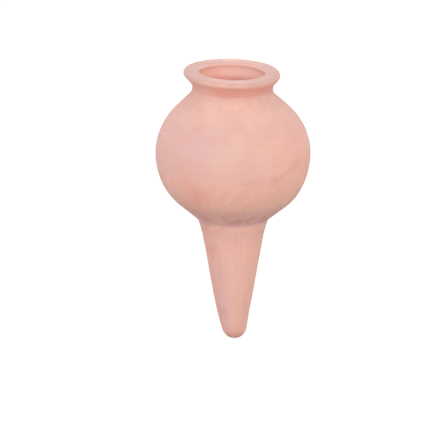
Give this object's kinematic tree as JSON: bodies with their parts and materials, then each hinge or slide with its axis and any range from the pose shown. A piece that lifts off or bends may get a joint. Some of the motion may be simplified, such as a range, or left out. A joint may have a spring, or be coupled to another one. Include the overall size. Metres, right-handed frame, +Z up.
{
  "type": "self watering spike",
  "caption": "Unglazed terracotta watering globe with a rolled rim, on a hollow pointed spike that is pressed into soil and lets water seep through its wall.",
  "frame": {"origin": "on the axis, level with the crease between globe and spike, which is the soil line in use", "axes": "+Z up along the axis of the spike, out of the mouth; X and Y are alike, because the object is round"},
  "size_m": [0.0648, 0.0648, 0.1157],
  "materials": {
    "turned_terracotta": "matte",
    "smoothed_terracotta": "matte",
    "clay_slip": "matte"
  },
  "bodies": {
    "root": {"rim_collar": "turned_terracotta", "collar_slip_joint": "clay_slip", "globe_shell": "turned_terracotta", "spike_slip_joint": "clay_slip", "spike_shell": "smoothed_terracotta"}
  },
  "joints": []
}
